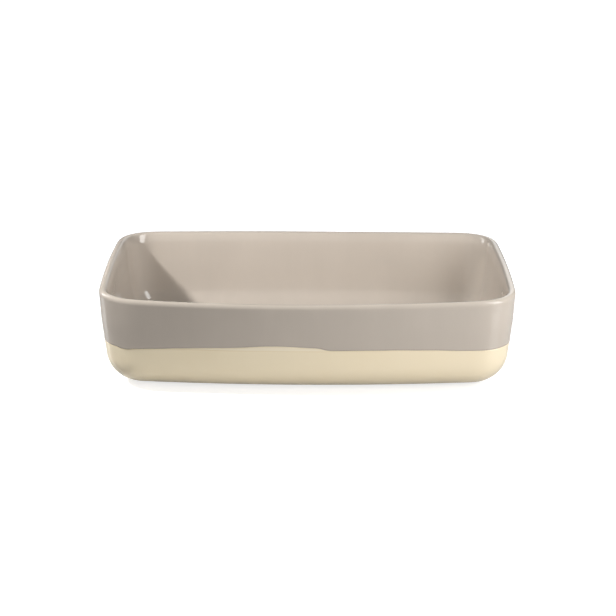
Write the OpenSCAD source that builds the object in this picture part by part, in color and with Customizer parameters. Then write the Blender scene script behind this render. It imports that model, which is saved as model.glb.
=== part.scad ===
// Rectangular stoneware baking dish with bowed sides, leaning walls and a two-colour glaze.
// The clay shell stands on an unglazed foot ring. A taupe coat covers the inside, the rim
// and the upper part of the outside, and a cream coat covers the lower part and the underside.
// The origin is on the table under the middle of the dish, with the length along X and Z up.

/* [Dish] */
// Length over the rim, at the middle of the short sides (mm)
dish_l = 330; // [240:1:420]
// Width over the rim, at the middle of the long sides (mm)
dish_w = 220; // [160:1:300]
// Height from the table to the top of the rim (mm)
dish_h = 77.5; // [60:0.5:110]
// Thickness of the wall and the floor, glaze included (mm)
wall_t = 8; // [6:0.1:10]
// How far the walls lean outwards from upright (degrees)
wall_lean = 6.5; // [2:0.1:12]
// Radius of the rounded edge between the wall and the underside (mm)
base_edge_r = 26.5; // [18:0.5:32]
// Corner radius that is left where the rounded edge meets the flat underside (mm)
base_corner_r = 3; // [1:0.1:20]
// Angle that each long side turns through on either side of its middle (degrees)
long_side_turn = 6.4; // [1:0.1:12]
// Angle that each short side turns through on either side of its middle (degrees)
short_side_turn = 2.4; // [1:0.1:12]

/* [Rim] */
// Radius of the outer half of the rim (mm)
rim_outer_r = 3.2; // [1.5:0.1:4]

/* [Glaze] */
// Height of the line where the taupe coat ends on the outside (mm)
dip_line_z = 37; // [34:0.5:50]
// Thickness of the taupe coat (mm)
taupe_t = 0.6; // [0.3:0.05:1]
// Thickness of the cream coat (mm)
cream_t = 0.4; // [0.2:0.05:1]

/* [Foot ring] */
// Height of the foot ring under the glazed underside (mm)
foot_h = 1.5; // [1:0.1:5]
// Width of the standing face of the foot ring (mm)
foot_w = 6; // [3:0.5:12]
// Distance from the start of the flat underside to the foot ring (mm)
foot_inset = 7; // [4:0.5:20]
// Corner radius of the outer side of the foot ring (mm)
foot_corner_r = 18; // [13:0.5:40]

/* [Hidden] */
$fn = 360;

taupe_colour = [0.75, 0.70, 0.65];
cream_colour = [0.92, 0.86, 0.73];
clay_colour = [0.80, 0.72, 0.60];

// Straight pieces that stand for each round stretch of the wall section
edge_steps = 14;
rim_steps = 10;

// Steps in which a long move is made, so that no digit of it is lost
coarse_step = 1;
fine_step = 0.001;

// Places inside the flat corner of the underside, as shares of its radius
slab_corner_share = 0.6;
core_share = 0.2;

lean_sin = sin(wall_lean);
lean_cos = cos(wall_lean);

// Heights of the glazed underside and of the glazed floor
under_z = foot_h;
floor_z = under_z + wall_t;

// The section is drawn with X as the distance outside the rim's widest line, so it is
// negative over the dish, and with Y as the height. The wall is tangent to the outer rim
// circle and the base edge circle, and the inside runs parallel to it.
rim_inner_r = (wall_t - rim_outer_r * (1 + lean_sin)) / (1 - lean_sin);
inner_edge_r = base_edge_r - wall_t;
rim_outer_c = [-rim_outer_r, dish_h - rim_outer_r];
rim_inner_c = [-rim_outer_r, dish_h - rim_inner_r];
base_edge_c = leaning_centre(under_z + base_edge_r, rim_outer_r - base_edge_r);
inner_edge_c = leaning_centre(floor_z + inner_edge_r, rim_outer_r - wall_t - inner_edge_r);

// Corner radius at the rim, and the places where the section and the flat middle end
flat_x = min(base_edge_c.x, inner_edge_c.x);
rim_corner_r = base_corner_r - flat_x;
core_x = core_share * base_corner_r - rim_corner_r;
slab_in = rim_corner_r - slab_corner_share * base_corner_r;

rim_outline = bowed_outline(dish_l / 2, dish_w / 2, rim_corner_r);
foot_in = foot_inset - flat_x;
foot_outline = bowed_outline(dish_l / 2 - foot_in, dish_w / 2 - foot_in, foot_corner_r);

// Centre at height z whose distance from the rim circle's centre, square to the wall, is d
function leaning_centre(z, d) =
    [rim_outer_c.x + (d + (z - rim_outer_c.y) * lean_sin) / lean_cos, z];

// Points of an arc from angle a0 to angle a1
function arc(c, r, a0, a1, steps) =
    [for (i = [0:steps]) let(a = a0 + (a1 - a0) * i / steps) c + r * [cos(a), sin(a)]];

// Outside of the section, from the underside to the top of the rim, at depth g in the glaze
function outer_path(g) = concat(
    arc(base_edge_c, base_edge_r - g, -90, -wall_lean, edge_steps),
    upper_outer_path(g)
);
function upper_outer_path(g) = arc(rim_outer_c, rim_outer_r - g, -wall_lean, 90, rim_steps);

// Inside of the section, from the top of the rim to the floor, at depth g in the glaze
function inner_path(g) = concat(
    arc(rim_inner_c, rim_inner_r - g, 90, 180 - wall_lean, rim_steps),
    arc(inner_edge_c, inner_edge_r + g, -wall_lean, -90, edge_steps)
);

// Point on the straight outside of the wall at height z, at depth g in the glaze
function wall_point(z, g) =
    let(start = rim_outer_c + (rim_outer_r - g) * [lean_cos, -lean_sin])
    [start.x + (z - start.y) * lean_sin / lean_cos, z];

function reversed(points) = [for (i = [len(points) - 1:-1:0]) points[i]];

// Outline of four bowed sides and four corners, tangent all round. The radii of the sides
// follow from the half length, the half width, the corner radius and the two turns.
// Each entry is [centre, radius, start angle, angle].
function bowed_outline(half_l, half_w, corner_r) =
    let(
        sl = sin(long_side_turn),
        cl = 1 - cos(long_side_turn),
        ss = sin(short_side_turn),
        cs = 1 - cos(short_side_turn),
        reach_x = half_l - corner_r,
        reach_y = half_w - corner_r,
        det = sl * ss - cl * cs,
        long_r = corner_r + (reach_x * ss - reach_y * cs) / det,
        short_r = corner_r + (reach_y * sl - reach_x * cl) / det,
        corner_x = (long_r - corner_r) * sl,
        corner_y = (short_r - corner_r) * ss,
        corner_turn = 90 - long_side_turn - short_side_turn
    )
    [
        [[half_l - short_r, 0], short_r, -short_side_turn, 2 * short_side_turn],
        [[corner_x, corner_y], corner_r, short_side_turn, corner_turn],
        [[0, half_w - long_r], long_r, 90 - long_side_turn, 2 * long_side_turn],
        [[-corner_x, corner_y], corner_r, 90 + long_side_turn, corner_turn],
        [[short_r - half_l, 0], short_r, 180 - short_side_turn, 2 * short_side_turn],
        [[-corner_x, -corner_y], corner_r, 180 + short_side_turn, corner_turn],
        [[0, long_r - half_w], long_r, 270 - long_side_turn, 2 * long_side_turn],
        [[corner_x, -corner_y], corner_r, 270 + long_side_turn, corner_turn]
    ];

function snapped(v, step) = [for (x = v) round(x / step) * step];

// Moves by v in steps of falling size
module moved(v) {
    coarse = snapped(v, coarse_step);
    fine = snapped(v - coarse, fine_step);
    translate(coarse) translate(fine) translate(v - coarse - fine) children();
}

// Carries a section round an outline, one arc at a time
module carried_round(outline) {
    for (part = outline)
        moved([part[0].x, part[0].y, 0])
            rotate_extrude(angle = part[3], start = part[2])
                moved([part[1], 0]) children();
}

// Flat plate inside the rim outline, reaching into the flat part of the carried section
module middle_plate(z0, z1) {
    translate([0, 0, z0]) linear_extrude(z1 - z0) intersection_for (i = [0:2:6])
        moved(rim_outline[i][0]) circle(rim_outline[i][1] - slab_in);
}

// Unglazed ring that the dish stands on, up into the clay
module foot_ring() {
    carried_round(foot_outline) translate([-foot_w, 0]) square([foot_w, under_z + taupe_t]);
}

// Fired clay shell: leaning walls, rounded rim, flat floor and foot ring
module stoneware_body() {
    color(clay_colour) {
        carried_round(rim_outline) polygon(concat(
            [[core_x, under_z + taupe_t]],
            outer_path(taupe_t),
            inner_path(taupe_t),
            [[core_x, floor_z - taupe_t]]
        ));
        middle_plate(under_z + taupe_t, floor_z - taupe_t);
        foot_ring();
    }
}

// Taupe coat on the floor, the inside, the rim and the outside down to the dip line
module taupe_glaze() {
    color(taupe_colour) {
        carried_round(rim_outline) polygon(concat(
            [wall_point(dip_line_z, 0)],
            upper_outer_path(0),
            inner_path(0),
            [[core_x, floor_z], [core_x, floor_z - taupe_t]],
            reversed(concat(upper_outer_path(taupe_t), inner_path(taupe_t))),
            [wall_point(dip_line_z, taupe_t)]
        ));
        middle_plate(floor_z - taupe_t, floor_z);
    }
}

// Cream coat from the dip line round the base edge and over the underside
module cream_glaze() {
    skin = taupe_t - cream_t;
    color(cream_colour) difference() {
        union() {
            carried_round(rim_outline) polygon(concat(
                [[core_x, under_z + skin]],
                arc(base_edge_c, base_edge_r - skin, -90, -wall_lean, edge_steps),
                [wall_point(dip_line_z, skin), wall_point(dip_line_z, taupe_t)],
                arc(base_edge_c, base_edge_r - taupe_t, -wall_lean, -90, edge_steps),
                [[core_x, under_z + taupe_t]]
            ));
            middle_plate(under_z + skin, under_z + taupe_t);
        }
        foot_ring();
    }
}

stoneware_body();
taupe_glaze();
cream_glaze();
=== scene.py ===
"""Glazed stoneware baking dish: clay shell, taupe coat and cream coat, on a plain studio floor.

Everything is in metres. The dish stands on the floor at the origin, with its length along X
and its front towards -Y.
"""

import math
from collections import namedtuple

import bmesh
import bpy
from bpy.props import FloatProperty, FloatVectorProperty, PointerProperty
from mathutils import Matrix, Vector, noise


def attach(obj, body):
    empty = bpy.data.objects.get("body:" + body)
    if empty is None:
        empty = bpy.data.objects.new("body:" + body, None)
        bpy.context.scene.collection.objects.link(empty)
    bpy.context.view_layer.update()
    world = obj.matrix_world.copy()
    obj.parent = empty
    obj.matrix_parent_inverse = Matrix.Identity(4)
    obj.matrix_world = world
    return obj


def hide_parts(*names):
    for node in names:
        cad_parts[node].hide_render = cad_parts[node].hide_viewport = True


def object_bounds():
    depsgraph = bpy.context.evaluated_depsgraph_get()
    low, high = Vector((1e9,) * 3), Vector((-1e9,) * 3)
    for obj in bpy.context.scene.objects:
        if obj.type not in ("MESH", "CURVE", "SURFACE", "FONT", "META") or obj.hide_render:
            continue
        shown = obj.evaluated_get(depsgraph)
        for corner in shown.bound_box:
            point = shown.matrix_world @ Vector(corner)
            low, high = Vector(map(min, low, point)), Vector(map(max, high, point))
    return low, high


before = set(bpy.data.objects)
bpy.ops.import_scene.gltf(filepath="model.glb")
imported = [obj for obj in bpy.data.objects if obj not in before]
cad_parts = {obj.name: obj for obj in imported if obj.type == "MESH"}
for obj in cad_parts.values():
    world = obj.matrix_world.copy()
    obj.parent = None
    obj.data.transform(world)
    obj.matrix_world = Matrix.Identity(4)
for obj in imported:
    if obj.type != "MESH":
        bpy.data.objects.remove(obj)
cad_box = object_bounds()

bl_info = {
    "name": "Stoneware Baking Dish",
    "version": (1, 0, 0),
    "blender": (4, 5, 0),
    "location": "3D View > Sidebar > Baking Dish",
    "description": "Models a two-colour glazed stoneware baking dish and its studio",
    "category": "Object",
}

MM = 0.001

# Where the edge of the taupe coat rises and falls on its way round the dish. The place is
# measured round the rim from the middle of the front, positive to the right, and each entry
# gives start, end and rise in millimetres.
DIP_LINE_RISES = (
    (-505, -420, 1.4),
    (-380, -300, -2.2),
    (-262, -205, 1.5),
    (-196, -165, -0.7),
    (-152, -147, -0.9),
    (-141, -136, 0.9),
    (-140, -62, 3.0),
    (-66, -28, 2.1),
    (-24, 10, -1.4),
    (6, 18, -2.3),
    (66, 140, -1.95),
    (186, 240, 2.0),
    (275, 330, -2.6),
    (372, 460, 1.15),
)

# Soft waves of the edge of the taupe coat, of the walls and of the rim, each as the number to
# the metre along X, Y and Z and the place in the noise where they start
LINE_WAVES = ((55, 0, 0), (0, 4, 0))
WALL_WAVES = ((9, 9, 5), (0, 0, 0))
RIM_WAVES = ((11, 11, 0), (7, 0, 2))

# Height of the waves of the edge and how far they lower it, in millimetres
LINE_WAVE_HEIGHT = 0.25
LINE_LOWERED = 0.1

# How far the walls are drawn in, how high the waves of the rim are and how far they lower it,
# as shares of the wobble
WALLS_DRAWN_IN = 0.6
RIM_WAVE_HEIGHT = 0.5
RIM_LOWERED = 0.3

# Faces along each short side, corner and long side
SHORT_STEPS = 48
CORNER_STEPS = 26
LONG_STEPS = 120

# Angle at each end of a corner over which its curve runs into that of the side, angle from
# there to the middle of the corner, and how much the middle is filled out for it
CORNER_BLEND = 0.3
CORNER_MIDDLE = 0.7
CORNER_FULLNESS = 0.2

# Rounding of the inside of the rim: how far in from the crest it is full, how deep under the
# crest its middle lies and how fast it fades, and the same fading for the edge of the floor
RIM_ROUND_IN = 2 * MM
RIM_ROUND_DEPTH = 3 * MM
RIM_ROUND_FADE = 2.8 * MM
FLOOR_EDGE_FADE = 13 * MM

# Height above the floor of the dish at which the walls start to stray from true
UNEVEN_START = 3 * MM

# Swelling of the ends: where it starts and how long it takes to its full size, as shares of
# the length, and how it rises from the table and falls to the rim, as shares of the height
BELLY_START = 0.3
BELLY_RUN = 0.15
BELLY_RISE = 0.2
BELLY_FALL = 0.35

# How far the dip line moves the glaze, above it and below it
DIP_REACH_UP = 22 * MM
DIP_REACH_DOWN = 10 * MM

# How the rolled edge of the taupe coat runs out above its bead: heights over the dip line, in
# radii of the bead, each with how proud of the wall the coat is there, as a share of the most
ROLLED_EDGE = ((2.4, 1.0), (4.4, 0.3), (6.4, 0.0))

# Where the taupe coat is thin and painted lighter about the crest of the rim, where it pools
# above the floor and from the wall inwards, and a distance from the dip line that counts as far
CREST_FADE = 3.2 * MM
POOL_HEIGHT = 9 * MM
POOL_WIDTH = 25 * MM
FAR_FROM_LINE = 50 * MM

# Half a side of the floor, and the part of it that keeps the shadow: a stretch that makes a
# circle of it, and the radii between which the shadow fades out
FLOOR_HALF_SIDE = 6.0
SHADOW_STRETCH = (5.0, 7.0, 1.0)
SHADOW_FADE = (0.75, 1.6)

# The lamps of the studio, with place, point that the lamp faces, and width and height in metres
Lamp = namedtuple("Lamp", "place aim size")
DISH_MIDDLE = (0, 0, 0.045)
LAMPS = {
    "key": Lamp((-0.5, -0.12, 0.424), (0, 0.06, 0.04), (0.045, 0.045)),
    "side": Lamp((0.34, -0.59, 0.272), DISH_MIDDLE, (0.26, 0.36)),
    "right": Lamp((0.39, -0.03, 0.26), DISH_MIDDLE, (0.3, 0.3)),
    "back": Lamp((0.25, 0.75, 0.4), DISH_MIDDLE, (0.5, 0.5)),
    "low": Lamp((-0.42, 0.66, 0.045), DISH_MIDDLE, (0.8, 0.06)),
    "strip": Lamp((0.73, -0.37, 0.5), DISH_MIDDLE, (0.38, 0.9)),
    "left_strip": Lamp((-0.74, 0.4, 0.45), DISH_MIDDLE, (0.25, 0.5)),
}
NOT_IN_GLOSS = ("key", "side", "right", "low")
ONLY_IN_GLOSS = ("strip", "left_strip")
NOT_SEEN_BY_CAMERA = ("low",)

# A stretch of a section: the place where it ends, the centre that it turns about, or None
# where it is straight, and the number of steps
Stretch = namedtuple("Stretch", "end centre steps")


def length(name, description, default, low, high):
    """A length in metres for the sidebar."""
    return FloatProperty(
        name=name, description=description, default=default, min=low, max=high,
        unit="LENGTH", precision=4, step=0.1,
    )


def angle(name, description, degrees, low, high):
    """An angle for the sidebar."""
    return FloatProperty(
        name=name, description=description, default=math.radians(degrees),
        min=math.radians(low), max=math.radians(high), unit="ROTATION",
    )


def share(name, description, default, high=1.0):
    """A number from zero for the sidebar."""
    return FloatProperty(name=name, description=description, default=default, min=0.0, max=high)


def colour(name, description, default):
    """A colour for the sidebar."""
    return FloatVectorProperty(
        name=name, description=description, default=default, size=3,
        min=0.0, max=1.0, subtype="COLOR",
    )


class DishSizes(bpy.types.PropertyGroup):
    """Sizes of the dish."""

    length: length("Length", "Length over the rim", cad_box[1][0] - cad_box[0][0], 0.2, 0.45)
    width: length("Width", "Width over the rim", cad_box[1][1] - cad_box[0][1], 0.15, 0.35)
    height: length(
        "Height", "Height of the rim at its two ends", cad_box[1][2] - cad_box[0][2], 0.06, 0.11,
    )
    wall: length("Wall", "Thickness of the wall and the floor with the glaze", 0.008, 0.006, 0.01)
    wall_lean: angle("Wall lean", "How far the walls lean outwards from upright", 6.5, 2, 12)
    base_edge: length("Base edge", "Radius of the round edge under the wall", 0.0265, 0.018, 0.032)
    base_corner: length(
        "Base corner", "Corner radius where the round edge meets the underside", 0.003, 0.001, 0.02,
    )
    long_turn: angle(
        "Long side turn", "Angle each long side turns through on either side of its middle",
        6.4, 1, 12,
    )
    short_turn: angle(
        "Short side turn", "Angle each short side turns through on either side of its middle",
        2.4, 1, 12,
    )
    rim_outer: length("Rim", "Radius of the outer half of the rim", 0.0032, 0.0015, 0.004)
    rim_dip: length(
        "Rim dip", "How far the rim sinks in the middle of the long sides", 0.0023, 0.0, 0.006,
    )
    rim_soft: length(
        "Rim softness", "How far the inside of the rim is rounded off", 0.001, 0.0, 0.0015,
    )
    edge_soft: length(
        "Floor edge softness", "How far the round edge of the floor is filled out",
        0.0021, 0.0, 0.003,
    )
    belly: length(
        "Belly", "How far the ends of the dish swell out below the rim", 0.0011, 0.0, 0.0015,
    )
    dip_line: length(
        "Dip line", "Height at which the taupe coat ends on the outside", 0.037, 0.034, 0.05,
    )
    taupe: length("Taupe coat", "Thickness of the taupe coat", 0.0006, 0.0003, 0.001)
    cream: length("Cream coat", "Thickness of the cream coat", 0.0004, 0.0002, 0.001)
    bead: length("Rolled edge", "Radius of the rolled edge of the taupe coat", 0.00035, 0.0, 0.0006)
    foot_height: length(
        "Foot height", "Height of the foot ring under the glazed underside", 0.0015, 0.001, 0.005,
    )
    foot_width: length("Foot width", "Width of the foot ring", 0.006, 0.003, 0.012)
    foot_inset: length(
        "Foot inset", "Distance from the flat underside's start to the foot ring",
        0.007, 0.004, 0.02,
    )
    foot_corner: length(
        "Foot corner", "Corner radius of the outside of the foot ring", 0.018, 0.013, 0.04,
    )
    foot_edge: length(
        "Foot edge", "Radius of the worn edges of the foot ring", 0.0008, 0.0002, 0.001,
    )
    wobble: length("Wobble", "How far the hand-finished walls stray from true", 0.0003, 0.0, 0.001)


class TaupeFinish(bpy.types.PropertyGroup):
    """Look of the taupe coat."""

    tint: colour("Colour", "Colour of the coat", (0.488, 0.43, 0.37))
    # Thick glaze also gives the painted shade on the back of the rim, and thin glaze the painted
    # highlight on its front
    thick: colour("Thick glaze", "Colour where the glaze has pooled", (0.385, 0.335, 0.285))
    thin_and_lit: colour("Thin glaze", "Colour where the glaze is thin over an edge", (0.63, 0.56, 0.475))
    roughness: share("Roughness", "Roughness of the gloss", 0.07)
    mottle: share("Mottle", "Strength of the soft patches and runs", 0.5)
    ripple: length("Ripple", "Height of the soft waves in the gloss", 0.00035, 0.0, 0.002)


class CreamFinish(bpy.types.PropertyGroup):
    """Look of the cream coat."""

    # The cream's Colour is used at the left end and Thick glaze at the right end: painted light at
    # the left and painted shade at the right, not a change in thickness
    tint: colour("Colour", "Colour of the coat where it is thin", (0.95, 0.825, 0.595))
    thick: colour("Thick glaze", "Colour of the coat where it is thick", (0.81, 0.70, 0.51))
    warm: colour("Warm patches", "Colour of the warmer patches", (0.82, 0.67, 0.43))
    strip: colour(
        "Upper strip", "Colour between the first dip mark and the taupe coat", (0.90, 0.80, 0.62),
    )
    roughness: share("Roughness", "Roughness of the gloss", 0.2)
    mottle: share("Mottle", "Strength of the warmer patches", 0.5)
    first_mark: length(
        "First dip mark", "Height of the faint mark under the taupe edge", 0.0377, 0.03, 0.05,
    )
    ripple: length("Ripple", "Height of the soft waves in the gloss", 0.0003, 0.0, 0.002)


class ClayFinish(bpy.types.PropertyGroup):
    """Look of the bare clay."""

    tint: colour("Colour", "Colour of the fired clay", (0.62, 0.50, 0.36))
    iron: colour("Specks", "Colour of the iron specks", (0.26, 0.16, 0.09))
    roughness: share("Roughness", "Roughness of the dry clay", 0.88)
    grain: length("Grain", "Height of the sandy grain", 0.0002, 0.0, 0.001)


class StudioSettings(bpy.types.PropertyGroup):
    """Camera, floor and light."""

    distance: length(
        "Distance", "Distance of the camera from the middle of the dish", 1.431, 0.5, 5.0,
    )
    elevation: angle("Elevation", "Height of the camera as an angle", 17.81, 0, 90)
    azimuth: angle("Azimuth", "Turn of the camera from straight in front", -0.138, -180, 180)
    roll: angle("Roll", "Turn of the camera about its view", 0.286, -5, 5)
    view_angle: angle("View angle", "Angle that the camera sees from side to side", 20.196, 5, 60)
    aim: FloatVectorProperty(
        name="Aim", description="Point that the camera looks at",
        default=(0.00057, 0.0, 0.03872), size=3, subtype="TRANSLATION", unit="LENGTH",
    )
    key_power: share("Key light", "Power of the small lamp at the left, in watts", 0.57, 500.0)
    key_spread: angle("Key spread", "Spread of the light of the small lamp", 60, 1, 180)
    side_power: share(
        "Side light", "Power of the soft lamp at the front right, in watts", 3.1, 500.0,
    )
    right_power: share("Right light", "Power of the soft lamp at the right, in watts", 0.96, 500.0)
    back_power: share("Back light", "Power of the soft lamp behind the dish, in watts", 0.93, 500.0)
    low_power: share(
        "Low light", "Power of the low lamp behind it at the left, in watts", 2.8, 500.0,
    )
    strip_power: share(
        "Strip", "Power of the lamp for the gloss at the right, in watts", 8.2, 500.0,
    )
    left_strip_power: share("Left strip", "The same at the left, in watts", 2.0, 500.0)
    fill: share("Fill", "Strength of the surroundings as light", 0.02, 2.0)
    surroundings: colour("Surroundings", "Colour of the surroundings as seen", (0.60, 0.65, 0.70))
    in_gloss: share(
        "In the gloss", "How brightly the gloss shows the floor and the surroundings", 0.25,
    )
    floor: colour("Floor", "Colour of the floor", (0.6, 0.6, 0.6))
    shadow: share("Shadow", "How much of the dish's shadow shows on the floor", 0.3)


# Shape of the dish


def bowed_outline(half_length, half_width, corner, long_turn, short_turn):
    """Four bowed sides and four corners, tangent all round, as (centre, radius, start, turn)."""
    long_sin, long_rise = math.sin(long_turn), 1 - math.cos(long_turn)
    short_sin, short_rise = math.sin(short_turn), 1 - math.cos(short_turn)
    reach_x, reach_y = half_length - corner, half_width - corner
    scale = long_sin * short_sin - long_rise * short_rise
    long_r = corner + (reach_x * short_sin - reach_y * short_rise) / scale
    short_r = corner + (reach_y * long_sin - reach_x * long_rise) / scale
    corner_x = (long_r - corner) * long_sin
    corner_y = (short_r - corner) * short_sin
    corner_turn = math.pi / 2 - long_turn - short_turn
    sides = (
        (Vector((half_length - short_r, 0, 0)), short_r, short_turn),
        (Vector((0, half_width - long_r, 0)), long_r, long_turn),
        (Vector((short_r - half_length, 0, 0)), short_r, short_turn),
        (Vector((0, long_r - half_width, 0)), long_r, long_turn),
    )
    corners = ((1, 1), (-1, 1), (-1, -1), (1, -1))
    arcs = []
    for quarter, ((centre, radius, turn), (along, across)) in enumerate(zip(sides, corners)):
        start = quarter * math.pi / 2
        arcs.append((centre, radius, start - turn, 2 * turn))
        middle = Vector((along * corner_x, across * corner_y, 0))
        arcs.append((middle, corner, start + turn, corner_turn))
    return arcs


def eased(value):
    """Runs from 0 to 1 with a soft start and end."""
    value = min(max(value, 0.0), 1.0)
    return value * value * (3 - 2 * value)


def soft_waves(place, waves):
    """Noise from about -1 to 1 at a place."""
    return noise.noise(Vector([at * many + start for at, many, start in zip(place, *waves)]))


def backwards(start, path):
    """The same path walked the other way, with its own start."""
    places = [start] + [stretch.end for stretch in path]
    back = [
        Stretch(places[index], path[index].centre, path[index].steps)
        for index in reversed(range(len(path)))
    ]
    return places[-1], back


class Dish:
    """The section of the wall, the outlines that it follows and the small unevenness of both.

    A place in the section is (out, up): the distance outside the rim's widest line, negative
    over the dish, and the height above the table.
    """

    def __init__(self, sizes):
        self.sizes = sizes
        self.lean_sin, self.lean_cos = math.sin(sizes.wall_lean), math.cos(sizes.wall_lean)
        self.under = sizes.foot_height
        self.floor = self.under + sizes.wall
        self.skin = sizes.taupe - sizes.cream
        self.rim_outer_c = (-sizes.rim_outer, sizes.height - sizes.rim_outer)
        self.rim_inner = (sizes.wall - sizes.rim_outer * (1 + self.lean_sin)) / (1 - self.lean_sin)
        self.rim_inner_c = (-sizes.rim_outer, sizes.height - self.rim_inner)
        edge_up = self.under + sizes.base_edge
        across = sizes.rim_outer - sizes.base_edge + (edge_up - self.rim_outer_c[1]) * self.lean_sin
        self.edge_c = (-sizes.rim_outer + across / self.lean_cos, edge_up)
        self.rim_corner = sizes.base_corner - self.edge_c[0]
        self.flat_out = 0.2 * sizes.base_corner - self.rim_corner
        self.foot_in = sizes.foot_inset - self.edge_c[0]
        half_length, half_width = sizes.length / 2, sizes.width / 2
        turns = sizes.long_turn, sizes.short_turn
        self.rim_outline = bowed_outline(half_length, half_width, self.rim_corner, *turns)
        self.foot_outline = bowed_outline(
            half_length - self.foot_in, half_width - self.foot_in, sizes.foot_corner, *turns
        )
        self.rim_length = sum(radius * turn for _, radius, _, turn in self.rim_outline)

    def on_arc(self, centre, radius, side):
        """Place where the wall touches a circle: side is 1 for its outside, -1 for its inside."""
        return (
            centre[0] + side * radius * self.lean_cos,
            centre[1] - side * radius * self.lean_sin,
        )

    def on_wall(self, up, depth):
        """Place on the straight outside of the wall at a height, at a depth in the glaze."""
        top = self.on_arc(self.rim_outer_c, self.sizes.rim_outer - depth, 1)
        return top[0] + (up - top[1]) * self.lean_sin / self.lean_cos, up

    def base_path(self, depth, steps=20):
        """From the flat underside round the base edge to the wall."""
        low = self.under + depth
        radius = self.sizes.base_edge - depth
        return (self.flat_out, low), [
            Stretch((self.edge_c[0], low), None, 1),
            Stretch(self.on_arc(self.edge_c, radius, 1), self.edge_c, steps),
        ]

    def rim_path(self, depth, wall_steps=1, outer_steps=10, inner_steps=12):
        """Up the outside of the wall and over the rim to the inside."""
        sizes = self.sizes
        outer_start = self.on_arc(self.rim_outer_c, sizes.rim_outer - depth, 1)
        inner_end = self.on_arc(self.rim_inner_c, self.rim_inner - depth, -1)
        return [
            Stretch(outer_start, None, wall_steps),
            Stretch((-sizes.rim_outer, sizes.height - depth), self.rim_outer_c, outer_steps),
            Stretch(inner_end, self.rim_inner_c, inner_steps),
        ]

    def inside_path(self, depth, wall_steps=1, edge_steps=18):
        """Down the inside of the wall and round to the flat floor."""
        radius = self.sizes.base_edge - self.sizes.wall + depth
        low = self.floor - depth
        return [
            Stretch(self.on_arc(self.edge_c, radius, 1), None, wall_steps),
            Stretch((self.edge_c[0], low), self.edge_c, edge_steps),
            Stretch((self.flat_out, low), None, 1),
        ]

    def around(self, point):
        """Where a point is, seen from the rim.

        Gives the distance round the rim from the middle of the front, the distance outside it,
        the direction outwards, and the distance into a corner, which is negative on a side.
        """
        best = None
        run = 0.0
        for centre, radius, start, turn in self.rim_outline:
            reach = Vector((point.x - centre.x, point.y - centre.y, 0))
            turned = (math.atan2(reach.y, reach.x) - start + 0.01) % math.tau - 0.01
            out = reach.length - radius
            if turned <= turn + 0.01 and (best is None or abs(out) < abs(best[1])):
                turned = min(max(turned, 0.0), turn)
                into = min(turned, turn - turned) * (radius + out)
                if radius > self.rim_corner:
                    into = -into
                best = (run + radius * turned, out, reach.normalized(), into)
            run += radius * turn
        start_angle, short_radius = self.rim_outline[0][2], self.rim_outline[0][1]
        front = 0.75 * self.rim_length - short_radius * start_angle
        run = (best[0] - front + self.rim_length / 2) % self.rim_length - self.rim_length / 2
        return run, best[1], best[2], best[3]

    def line_rise(self, run):
        """How far the edge of the taupe coat is above its set height at a place round the rim."""
        rise = LINE_WAVE_HEIGHT * soft_waves((run, 0, 0), LINE_WAVES) - LINE_LOWERED
        for start, end, step in DIP_LINE_RISES:
            rise += step * eased((run / MM - start) / (end - start))
        return rise * MM

    def blended(self, out, into):
        """How far the wall moves so that the curve of a side runs softly into that of a corner."""
        radius = self.rim_corner + out
        if radius <= 0 or into <= -CORNER_BLEND * radius:
            return 0.0
        share = min(into / (CORNER_BLEND * radius), 1.0)
        shift = max(share, 0.0) ** 2 / 2 - (share + 1) ** 3 / 12
        along = (into / radius + CORNER_BLEND) / (CORNER_BLEND + CORNER_MIDDLE)
        shift += CORNER_FULLNESS * eased(along)
        return shift * CORNER_BLEND * CORNER_BLEND * radius

    def softened(self, out, up):
        """How far the clay is rounded off inside the rim and filled out along the floor's edge."""
        sizes = self.sizes
        off_middle = (sizes.height - up - RIM_ROUND_DEPTH) / RIM_ROUND_FADE
        inside = min(max((-sizes.rim_outer - out) / RIM_ROUND_IN, 0.0), 1.0)
        cut = sizes.rim_soft * inside * math.exp(-off_middle ** 2)
        out_c, up_c = self.edge_c
        slant = (sizes.base_edge - sizes.wall) * math.sqrt(0.5)
        off_edge = math.hypot(out - out_c - slant, up - up_c + slant)
        depth = (sizes.base_edge - math.hypot(out - out_c, up - up_c)) / sizes.wall
        fill = sizes.edge_soft * math.sqrt(0.5) * min(max(depth, 0.0), 1.0)
        fill *= math.exp(-(off_edge / FLOOR_EDGE_FADE) ** 2)
        return cut - fill, fill

    def uneven(self, point, direction):
        """Moves a true point of the dish to its place on the hand-finished one."""
        sizes = self.sizes
        start = self.floor + UNEVEN_START
        high = max(0.0, (point.z - start) / (sizes.height - start))
        across = 1 - (2 * point.x / sizes.length) ** 2
        stray = soft_waves(point, WALL_WAVES) - WALLS_DRAWN_IN
        lift = RIM_WAVE_HEIGHT * soft_waves(point, RIM_WAVES) - RIM_LOWERED
        ends = eased((abs(point.x) / sizes.length - BELLY_START) / BELLY_RUN)
        up = point.z / sizes.height
        belly = sizes.belly * ends * eased(up / BELLY_RISE) * eased((1 - up) / BELLY_FALL)
        moved = point + direction * (sizes.wobble * high * stray + belly)
        moved.z += high * high * (sizes.wobble * lift - sizes.rim_dip * across)
        return moved


# Mesh making


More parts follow.
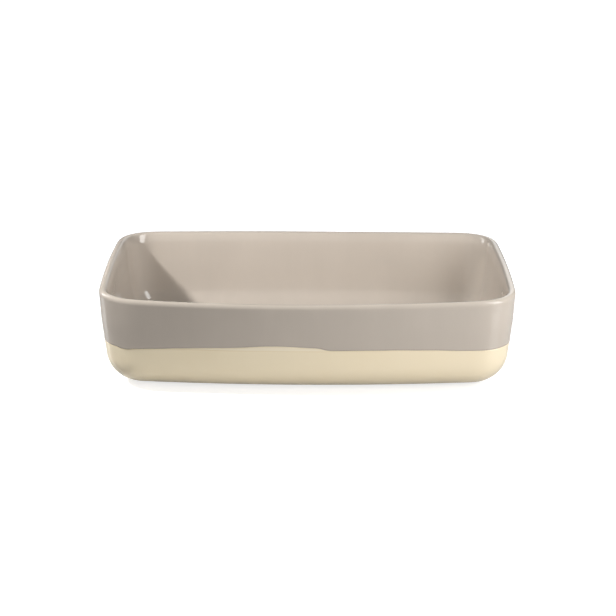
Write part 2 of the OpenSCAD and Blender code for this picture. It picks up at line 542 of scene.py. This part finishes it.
class Section:
    """A chain of points drawn in the upright plane through the middle of the right side."""

    def __init__(self, bm, half_length, start, path=()):
        self.bm = bm
        self.others = set(bm.verts)
        self.half_length = half_length
        self.first = self.tip = bm.verts.new(self.place(start))
        self.points, self.edges = [self.tip], []
        self.follow(path)

    def place(self, spot):
        return Vector((self.half_length + spot[0], 0, spot[1]))

    def follow(self, path):
        """Draws each stretch of a path on from the tip."""
        for end, centre, steps in path:
            if centre is None:
                self.straight(self.place(end), steps)
            else:
                self.turn(self.place(end), self.place(centre), steps)

    def straight(self, end, steps):
        step = (end - self.tip.co) / steps
        for _ in range(steps):
            made = bmesh.ops.extrude_vert_indiv(self.bm, verts=[self.tip])
            self.tip = made["verts"][0]
            bmesh.ops.translate(self.bm, verts=[self.tip], vec=step)
            self.points.append(self.tip)
            self.edges += made["edges"]

    def turn(self, end, centre, steps):
        old, new = self.tip.co - centre, end - centre
        turn = math.atan2(new.z, new.x) - math.atan2(old.z, old.x)
        turn = (turn + math.pi) % math.tau - math.pi
        for _ in range(steps):
            made = bmesh.ops.spin(
                self.bm, geom=[self.tip], cent=centre, axis=(0, 1, 0), angle=-turn / steps,
                steps=1, use_merge=False, use_normal_flip=False, use_duplicate=False,
            )["geom_last"]
            before = self.tip
            self.tip = next(part for part in made if isinstance(part, bmesh.types.BMVert))
            self.points.append(self.tip)
            self.edges += [one for one in before.link_edges if one.other_vert(before) is self.tip]


def carry_round(bm, section, outline):
    """Spins a section about the arcs of a quarter of an outline, and mirrors that twice."""
    quarter = (
        (outline[0][0], outline[0][3] / 2, SHORT_STEPS // 2),
        (outline[1][0], outline[1][3], CORNER_STEPS),
        (outline[2][0], outline[2][3] / 2, LONG_STEPS // 2),
    )
    geometry = section.points + section.edges
    for centre, turn, steps in quarter:
        geometry = bmesh.ops.spin(
            bm, geom=geometry, cent=centre, axis=(0, 0, 1), angle=turn, steps=steps,
            use_merge=False, use_normal_flip=False, use_duplicate=False,
        )["geom_last"]
    for axis in "XY":
        made = [point for point in bm.verts if point not in section.others]
        points = set(made)
        made += [edge for edge in bm.edges if edge.verts[0] in points]
        made += [face for face in bm.faces if face.verts[0] in points]
        bmesh.ops.mirror(bm, geom=made, axis=axis, merge_dist=0.01 * MM)


def open_loop(point):
    """The open edges that are met by walking on from a point until it comes round again."""
    loop = []
    met = set()
    while True:
        edge = next((one for one in point.link_edges if one.is_boundary and one not in met), None)
        if edge is None:
            return loop
        met.add(edge)
        loop.append(edge)
        point = edge.other_vert(point)


def close_flat(bm, loop, shares=(0.8, 0.55, 0.3)):
    """Closes a flat opening with rings drawn towards its middle and one last face."""
    drawn = 1.0
    for part in shares:
        made = bmesh.ops.extrude_edge_only(bm, edges=loop)["geom"]
        points = {one for one in made if isinstance(one, bmesh.types.BMVert)}
        bmesh.ops.scale(bm, verts=list(points), vec=(part / drawn, part / drawn, 1))
        edges = [one for one in made if isinstance(one, bmesh.types.BMEdge)]
        loop = [one for one in edges if points.issuperset(one.verts)]
        drawn = part
    bmesh.ops.edgeloop_fill(bm, edges=loop)


def paint(bm, name, values):
    """Stores a number at each point of a piece, for its finish."""
    layer = bm.verts.layers.float.new(name)
    for point, value in zip(bm.verts, values):
        point[layer] = value


def hand_finish(bm, dish, reach=0.0):
    """Moves a coat's points to the wavy dip line and the uneven walls, and tells where each was.

    The dip line moves what is within the reach of it on the outside: above it for a positive
    reach and below it for a negative one.
    """
    sizes = dish.sizes
    slope = dish.lean_sin / dish.lean_cos
    spots, rises = [], {}
    for point in bm.verts:
        run, out, direction, into = dish.around(point.co)
        up = point.co.z
        outside = out > dish.on_wall(up, 2 * sizes.taupe)[0]
        run = round(run, 5)
        if run not in rises:
            rises[run] = dish.line_rise(run)
        rise = rises[run]
        spots.append((out, up, outside, rise))
        across, lift = dish.softened(out, up)
        across += dish.blended(out, into)
        place = point.co + direction * across + Vector((0, 0, lift))
        if outside and reach:
            shift = rise * eased(1 - (up - sizes.dip_line) / reach)
            place += direction * (shift * slope) + Vector((0, 0, shift))
        point.co = dish.uneven(place, direction)
    return spots


def put_in_order(bm):
    """Sorts the edges and faces by their points, so that their order is the same in each run."""
    bm.verts.index_update()
    for parts in (bm.edges, bm.faces):
        order = sorted(parts, key=lambda part: sorted(point.index for point in part.verts))
        for number, part in enumerate(order):
            part.index = number
        parts.sort()


def as_piece(bm, name, material, node):
    """Turns a finished mesh into an object that stands for a solid of the frame."""
    put_in_order(bm)
    bmesh.ops.recalc_face_normals(bm, faces=bm.faces)
    for face in bm.faces:
        face.smooth = True
    mesh = bpy.data.meshes.new(name)
    bm.to_mesh(mesh)
    bm.free()
    mesh.materials.append(material)
    piece = bpy.data.objects.new(name, mesh)
    bpy.context.scene.collection.objects.link(piece)
    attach(piece, "root")
    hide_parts(node)
    return piece


# Material making


class Value:
    """A number that changes over a surface. Sums on it add Math nodes to its finish."""

    def __init__(self, finish, socket):
        self.finish = finish
        self.socket = socket

    def math(self, operation, *numbers, clamp=False):
        settings = {"operation": operation, "use_clamp": clamp}
        made = self.finish.node("Math", settings, dict(enumerate(numbers)))
        return Value(self.finish, made.outputs[0])

    def __add__(self, other):
        return self.math("ADD", self, other)

    def __sub__(self, other):
        return self.math("SUBTRACT", self, other)

    def __rsub__(self, other):
        return self.math("SUBTRACT", other, self)

    def __mul__(self, other):
        return self.math("MULTIPLY", self, other)

    def __truediv__(self, other):
        return self.math("DIVIDE", self, other)

    __radd__ = __add__
    __rmul__ = __mul__

    def clamped(self):
        return self.math("ADD", self, 0.0, clamp=True)

    def ramp(self, low, high):
        """Runs softly from 0 at low to 1 at high. Low may be the greater."""
        made = self.finish.node(
            "MapRange", {"interpolation_type": "SMOOTHSTEP"},
            {"Value": self, "From Min": low, "From Max": high, "To Min": 0.0, "To Max": 1.0},
        )
        return Value(self.finish, made.outputs[0])


class Finish:
    """A material or world while its nodes are made."""

    def __init__(self, owner):
        self.owner = owner
        owner.use_nodes = True
        self.tree = owner.node_tree
        self.tree.nodes.clear()

    def node(self, kind, settings=None, inputs=None):
        """Adds a node, sets its settings and then its sockets, by name or number."""
        made = self.tree.nodes.new("ShaderNode" + kind)
        for name, value in (settings or {}).items():
            setattr(made, name, value)
        for key, value in (inputs or {}).items():
            if isinstance(key, int):
                socket = made.inputs[key]
            else:
                socket = next(one for one in made.inputs if one.enabled and one.name == key)
            if isinstance(value, Value):
                self.tree.links.new(value.socket, socket)
            elif isinstance(value, bpy.types.NodeSocket):
                self.tree.links.new(value, socket)
            elif socket.type == "RGBA":
                socket.default_value = (*value[:3], 1.0)
            else:
                socket.default_value = value
        return made

    def place(self, stretch=(1.0, 1.0, 1.0)):
        """Object coordinates, stretched."""
        coordinates = self.node("TexCoord").outputs["Object"]
        if stretch == (1.0, 1.0, 1.0):
            return coordinates
        return self.node("Mapping", {}, {"Vector": coordinates, "Scale": stretch}).outputs[0]

    def cloud(self, place, scale, detail=2.0, roughness=0.5):
        """Noise about zero, from roughly -1 to 1."""
        made = self.node("TexNoise", {}, {
            "Vector": place, "Scale": scale, "Detail": detail, "Roughness": roughness,
        })
        return (Value(self, made.outputs[0]) - 0.5) * 4.0

    def stored(self, name):
        """A number that was painted on the piece."""
        made = self.node("Attribute", {"attribute_type": "GEOMETRY", "attribute_name": name})
        return Value(self, made.outputs["Fac"])

    def blend(self, factor, first, second):
        """A colour between two, by a factor from 0 to 1."""
        made = self.node(
            "Mix", {"data_type": "RGBA", "blend_type": "MIX"},
            {"Factor": factor, "A": first, "B": second},
        )
        return next(one for one in made.outputs if one.enabled)

    def bump(self, height):
        """A normal from a height in metres."""
        made = self.node("Bump", {}, {"Height": height, "Strength": 1.0, "Distance": 1.0})
        return made.outputs[0]

    def surface(self, shader):
        """Ends the nodes with a shader, and gives the material."""
        output = "OutputWorld" if isinstance(self.owner, bpy.types.World) else "OutputMaterial"
        self.node(output, {}, {"Surface": shader})
        return self.owner


def taupe_material(look):
    """Gloss glaze in soft patches and runs, darker where it pools. Over the rim it is lighter where
    the glaze is thin, with a painted highlight on the front of the rim and painted shade on its
    back.
    """
    finish = Finish(bpy.data.materials.new("taupe_glaze_finish"))
    place = finish.place()
    patches = finish.cloud(place, 14.0, 2.0)
    runs = finish.cloud(finish.place((1.0, 1.0, 0.1)), 75.0, 3.0, 0.6)
    above_edge = finish.stored("above_edge")
    crest = finish.stored("crest")
    pool = finish.stored("pool")
    mottle = (patches * 0.22 + runs * 0.12) * look.mottle
    rolled = above_edge.ramp(1.6 * MM, 0.3 * MM)
    # The crest mark lightens the front of the rim as a painted highlight and darkens its back as
    # painted shade, on top of the thin glaze
    thick = (mottle + pool * 0.30 + rolled * 0.75 - crest * 0.9).clamped()
    thin_and_lit = (crest * 0.95 - mottle).clamped()
    tone = finish.blend(thick, look.tint, look.thick)
    tone = finish.blend(thin_and_lit, tone, look.thin_and_lit)
    waves = finish.cloud(place, 22.0, 1.0) * look.ripple
    peel = finish.cloud(place, 420.0, 1.0) * (look.ripple * 0.008)
    shader = finish.node("BsdfPrincipled", {}, {
        "Base Color": tone,
        "Roughness": (patches * 0.02 + look.roughness).clamped(),
        "IOR": 1.5,
        "Normal": finish.bump(waves * 0.25 + peel),
    })
    return finish.surface(shader.outputs[0])


def cream_material(look):
    """Soft gloss glaze with warmer patches, painted lighter at the left end and darker at the right
    end as painted light and shade, and a faint mark from a first, lower dip.
    """
    finish = Finish(bpy.data.materials.new("cream_glaze_finish"))
    place = finish.place()
    patches = finish.cloud(place, 17.0, 2.0)
    runs = finish.cloud(finish.place((1.0, 1.0, 0.15)), 60.0, 3.0, 0.6)
    above_mark = finish.stored("above_mark")
    strip_width = finish.stored("strip_width")
    wander = finish.cloud(finish.place((1.0, 1.0, 0.0)), 40.0, 1.0) * (0.2 * MM)
    height = above_mark + wander
    has_strip = strip_width.ramp(0.5 * MM, 1.4 * MM)
    in_strip = height.ramp(-0.2 * MM, 0.5 * MM) * has_strip
    on_mark = height.ramp(-0.7 * MM, -0.1 * MM) * height.ramp(0.5 * MM, 0.0) * has_strip
    warm = ((patches * 0.3 + runs * 0.12) * look.mottle + on_mark * 0.8).clamped()
    # Painted light and shade: the colour runs from lighter at the left end of the dish to darker at
    # the right end
    across = finish.node("SeparateXYZ", {}, {"Vector": place}).outputs["X"]
    tone = finish.blend(Value(finish, across).ramp(-0.2, 0.2), look.tint, look.thick)
    tone = finish.blend(warm, tone, look.warm)
    tone = finish.blend(in_strip * 0.7, tone, look.strip)
    waves = finish.cloud(place, 24.0, 1.0) * look.ripple
    shader = finish.node("BsdfPrincipled", {}, {
        "Base Color": tone,
        "Roughness": (patches * 0.03 + look.roughness).clamped(),
        "IOR": 1.5,
        "Normal": finish.bump(waves * 0.25 + in_strip * (0.06 * MM)),
    })
    return finish.surface(shader.outputs[0])


def clay_material(look):
    """Dry fired clay with sand, iron specks and greyer worn places."""
    finish = Finish(bpy.data.materials.new("bare_clay_finish"))
    place = finish.place()
    patches = finish.cloud(place, 30.0, 3.0)
    sand = finish.cloud(place, 1400.0, 2.0, 0.6)
    specks = finish.cloud(place, 520.0, 0.0).ramp(0.85, 1.2)
    worn = [part * 0.78 for part in look.tint]
    tone = finish.blend((patches * 0.2 + sand * 0.2).clamped(), look.tint, worn)
    tone = finish.blend(specks * 0.8, tone, look.iron)
    shader = finish.node("BsdfPrincipled", {}, {
        "Base Color": tone,
        "Roughness": (sand * 0.03 + look.roughness).clamped(),
        "IOR": 1.5,
        "Normal": finish.bump(sand * (look.grain * 0.25)),
    })
    return finish.surface(shader.outputs[0])


# Pieces


class DISH_OT_stoneware_body(bpy.types.Operator):
    """Make the fired clay shell with its foot ring."""

    bl_idname = "dish.stoneware_body"
    bl_label = "Clay Shell"
    bl_options = {"REGISTER", "UNDO"}

    def execute(self, context):
        sizes = context.scene.dish_sizes
        dish = Dish(sizes)
        depth = sizes.taupe
        bm = bmesh.new()
        start, base = dish.base_path(depth)
        path = base + dish.rim_path(depth, 10, 6, 8) + dish.inside_path(depth, 8, 10)
        wall = Section(bm, sizes.length / 2, start, path)
        carry_round(bm, wall, dish.rim_outline)
        close_flat(bm, open_loop(wall.tip))

        width, edge, top = sizes.foot_width, sizes.foot_edge, dish.under + depth
        ring = Section(bm, sizes.length / 2 - dish.foot_in, (-width, top), [
            Stretch((-width, edge), None, 1),
            Stretch((edge - width, 0), (edge - width, edge), 5),
            Stretch((-edge, 0), None, 2),
            Stretch((0, edge), (-edge, edge), 5),
            Stretch((0, top), None, 1),
        ])
        carry_round(bm, ring, dish.foot_outline)
        bmesh.ops.bridge_loops(bm, edges=open_loop(wall.first) + open_loop(ring.tip))
        close_flat(bm, open_loop(ring.first))
        hand_finish(bm, dish)
        material = clay_material(context.scene.clay_finish)
        as_piece(bm, "clay_shell", material, "stoneware_body")
        return {"FINISHED"}


class DISH_OT_taupe_glaze(bpy.types.Operator):
    """Make the taupe coat over the floor, the inside, the rim and the upper outside."""

    bl_idname = "dish.taupe_glaze"
    bl_label = "Taupe Coat"
    bl_options = {"REGISTER", "UNDO"}

    def execute(self, context):
        sizes = context.scene.dish_sizes
        dish = Dish(sizes)
        line, bead = sizes.dip_line, sizes.bead
        proud = dish.skin - bead
        hidden = dish.rim_path(sizes.taupe, 10, 6, 8) + dish.inside_path(sizes.taupe, 8, 10)
        start, path = backwards(dish.on_wall(line, sizes.taupe), hidden)
        path += [
            Stretch(dish.on_wall(line, dish.skin), None, 1),
            Stretch(dish.on_wall(line + bead, proud), dish.on_wall(line + bead, dish.skin), 4),
        ]
        path += [
            Stretch(dish.on_wall(line + up * bead, part * proud), None, 1)
            for up, part in ROLLED_EDGE
        ]
        path += dish.rim_path(0, 22) + dish.inside_path(0, 20)
        bm = bmesh.new()
        coat = Section(bm, sizes.length / 2, start, path)
        carry_round(bm, coat, dish.rim_outline)
        close_flat(bm, open_loop(coat.first))
        close_flat(bm, open_loop(coat.tip))
        spots = hand_finish(bm, dish, DIP_REACH_UP)

        crest, pool, above = [], [], []
        for point, (out, up, outside, _) in zip(bm.verts, spots):
            off_crest = math.hypot(out + sizes.rim_outer, up - sizes.height)
            front = min(max(0.5 - point.co.y / sizes.width, 0.0), 1.0)
            # Over the crest the glaze is thin; a painted highlight makes it lighter in front and
            # painted shade makes it darker at the back
            front_lit_back_shaded = 1.4 * front - 0.4
            crest.append(front_lit_back_shaded * math.exp(-(off_crest / CREST_FADE) ** 2))
            low = (up - dish.floor) / POOL_HEIGHT
            far = max(0.0, dish.edge_c[0] - out) / POOL_WIDTH
            pool.append(0.0 if outside else math.exp(-low * low - far * far))
            above.append(up - line if outside else FAR_FROM_LINE)
        paint(bm, "crest", crest)
        paint(bm, "pool", pool)
        paint(bm, "above_edge", above)
        material = taupe_material(context.scene.taupe_finish)
        as_piece(bm, "taupe_coat", material, "taupe_glaze")
        return {"FINISHED"}


class DISH_OT_cream_glaze(bpy.types.Operator):
    """Make the cream coat over the lower outside and the underside."""

    bl_idname = "dish.cream_glaze"
    bl_label = "Cream Coat"
    bl_options = {"REGISTER", "UNDO"}

    def execute(self, context):
        sizes = context.scene.dish_sizes
        look = context.scene.cream_finish
        dish = Dish(sizes)
        line, skin, depth = sizes.dip_line, dish.skin, sizes.taupe
        hidden_start, hidden = dish.base_path(depth)
        hidden.append(Stretch(dish.on_wall(line, depth), None, 8))
        top, hidden = backwards(hidden_start, hidden)
        start, path = dish.base_path(skin)
        path.append(Stretch(dish.on_wall(line, skin), None, 8))
        path.append(Stretch(top, None, 1))
        bm = bmesh.new()
        band = Section(bm, sizes.length / 2, start, path + hidden)
        carry_round(bm, band, dish.rim_outline)

        foot_side = sizes.length / 2 - dish.foot_in
        low, high = dish.under + skin, dish.under + depth
        outer = Section(bm, foot_side, (0, low), [Stretch((0, high), None, 1)])
        carry_round(bm, outer, dish.foot_outline)
        bmesh.ops.bridge_loops(bm, edges=open_loop(band.first) + open_loop(outer.first))
        bmesh.ops.bridge_loops(bm, edges=open_loop(band.tip) + open_loop(outer.tip))
        width = sizes.foot_width
        inner = Section(bm, foot_side, (-width, low), [Stretch((-width, high), None, 1)])
        carry_round(bm, inner, dish.foot_outline)
        close_flat(bm, open_loop(inner.first))
        close_flat(bm, open_loop(inner.tip))
        spots = hand_finish(bm, dish, -DIP_REACH_DOWN)

        above, strip = [], []
        for _, up, _, rise in spots:
            shift = rise * eased(1 - (line - up) / DIP_REACH_DOWN)
            above.append(up + shift - look.first_mark)
            strip.append(line + rise - look.first_mark)
        paint(bm, "above_mark", above)
        paint(bm, "strip_width", strip)
        as_piece(bm, "cream_coat", cream_material(look), "cream_glaze")
        return {"FINISHED"}


class DISH_OT_studio(bpy.types.Operator):
    """Make the floor, the surroundings, the lamps and the camera."""

    bl_idname = "dish.studio"
    bl_label = "Studio"
    bl_options = {"REGISTER", "UNDO"}

    def execute(self, context):
        settings = context.scene.dish_studio
        self.surroundings(context.scene, settings)
        self.floor(context.scene, settings)
        for name, lamp in LAMPS.items():
            holder = self.lamp(name + "_lamp", lamp, getattr(settings, name + "_power"))
            holder.visible_glossy = name not in NOT_IN_GLOSS
            holder.visible_diffuse = name not in ONLY_IN_GLOSS
            holder.visible_camera = name not in NOT_SEEN_BY_CAMERA
            if name == "key":
                holder.data.spread = settings.key_spread
        self.camera(context.scene, settings)
        return {"FINISHED"}

    def seen(self, finish):
        """1 for what the camera or a glass sees, less for a gloss, and 0 for light on a surface."""
        path = finish.node("LightPath")
        camera, gloss, glass = [Value(finish, path.outputs[name]) for name in (
            "Is Camera Ray", "Is Glossy Ray", "Is Transmission Ray",
        )]
        return (camera + gloss * bpy.context.scene.dish_studio.in_gloss + glass).clamped()

    def surroundings(self, scene, settings):
        world = bpy.data.worlds.new("white_surroundings")
        scene.world = world
        finish = Finish(world)
        light = (settings.fill, settings.fill, settings.fill)
        colour = finish.blend(self.seen(finish), light, settings.surroundings)
        finish.surface(finish.node("Background", {}, {"Color": colour, "Strength": 1.0}).outputs[0])

    def floor(self, scene, settings):
        bm = bmesh.new()
        bmesh.ops.create_grid(bm, x_segments=1, y_segments=1, size=FLOOR_HALF_SIDE)
        mesh = bpy.data.meshes.new("studio_floor")
        bm.to_mesh(mesh)
        bm.free()
        finish = Finish(bpy.data.materials.new("pale_floor"))
        stretched = finish.place(SHADOW_STRETCH)
        from_middle = finish.node("VectorMath", {"operation": "LENGTH"}, {0: stretched})
        far = Value(finish, from_middle.outputs["Value"]).ramp(*SHADOW_FADE)
        white = 1.0 - (1.0 - far) * settings.shadow
        table = finish.node("BsdfPrincipled", {}, {
            "Base Color": settings.floor,
            "Roughness": 0.12,
            "IOR": 1.5,
            "Emission Color": finish.blend(self.seen(finish) * white, (0, 0, 0), (1, 1, 1)),
            "Emission Strength": 1.0,
        })
        mesh.materials.append(finish.surface(table.outputs[0]))
        floor = bpy.data.objects.new("studio_floor", mesh)
        scene.collection.objects.link(floor)

    def lamp(self, name, lamp, power):
        """A flat lamp that faces a point, with its power in watts."""
        light = bpy.data.lights.new(name, "AREA")
        light.shape = "RECTANGLE"
        light.size, light.size_y = lamp.size
        light.energy = power
        holder = bpy.data.objects.new(name, light)
        place = Vector(lamp.place)
        turn = (place - Vector(lamp.aim)).to_track_quat("Z", "Y")
        holder.matrix_world = Matrix.LocRotScale(place, turn, None)
        bpy.context.scene.collection.objects.link(holder)
        return holder

    def camera(self, scene, settings):
        camera = bpy.data.cameras.new("photo_camera")
        camera.sensor_fit = "HORIZONTAL"
        camera.sensor_width = 36.0
        camera.angle = settings.view_angle
        camera.clip_end = 50.0
        aim = Vector(settings.aim)
        flat = settings.distance * math.cos(settings.elevation)
        place = aim + Vector((
            flat * math.sin(settings.azimuth),
            -flat * math.cos(settings.azimuth),
            settings.distance * math.sin(settings.elevation),
        ))
        turn = (place - aim).to_track_quat("Z", "Y").to_matrix()
        turn = turn @ Matrix.Rotation(settings.roll, 3, "Z")
        holder = bpy.data.objects.new("photo_camera", camera)
        holder.matrix_world = Matrix.LocRotScale(place, turn.to_quaternion(), None)
        scene.collection.objects.link(holder)
        scene.camera = holder
        scene.view_settings.view_transform = "Standard"


# The operators that make the dish
LAYERS = ("dish.stoneware_body", "dish.taupe_glaze", "dish.cream_glaze")


class DISH_PT_panel(bpy.types.Panel):
    """Sizes, finishes and studio of the baking dish."""

    bl_label = "Baking Dish"
    bl_idname = "DISH_PT_panel"
    bl_space_type = "VIEW_3D"
    bl_region_type = "UI"
    bl_category = "Baking Dish"

    def draw(self, context):
        scene = context.scene
        groups = (
            ("Dish", scene.dish_sizes, LAYERS),
            ("Taupe coat", scene.taupe_finish, ()),
            ("Cream coat", scene.cream_finish, ()),
            ("Clay", scene.clay_finish, ()),
            ("Studio", scene.dish_studio, ("dish.studio",)),
        )
        for title, group, operators in groups:
            box = self.layout.box()
            box.label(text=title)
            for name in group.bl_rna.properties.keys():
                if name not in ("rna_type", "name"):
                    box.prop(group, name)
            for operator in operators:
                box.operator(operator)


GROUPS = {
    "dish_sizes": DishSizes,
    "taupe_finish": TaupeFinish,
    "cream_finish": CreamFinish,
    "clay_finish": ClayFinish,
    "dish_studio": StudioSettings,
}
OPERATORS = (DISH_OT_stoneware_body, DISH_OT_taupe_glaze, DISH_OT_cream_glaze, DISH_OT_studio)


def register():
    for name, group in GROUPS.items():
        bpy.utils.register_class(group)
        setattr(bpy.types.Scene, name, PointerProperty(type=group))
    for operator in OPERATORS:
        bpy.utils.register_class(operator)
    bpy.utils.register_class(DISH_PT_panel)


def unregister():
    bpy.utils.unregister_class(DISH_PT_panel)
    for operator in reversed(OPERATORS):
        bpy.utils.unregister_class(operator)
    for name, group in reversed(GROUPS.items()):
        delattr(bpy.types.Scene, name)
        bpy.utils.unregister_class(group)


def main():
    register()
    bpy.ops.dish.stoneware_body()
    bpy.ops.dish.taupe_glaze()
    bpy.ops.dish.cream_glaze()
    bpy.ops.dish.studio()


if __name__ == "__main__":
    main()
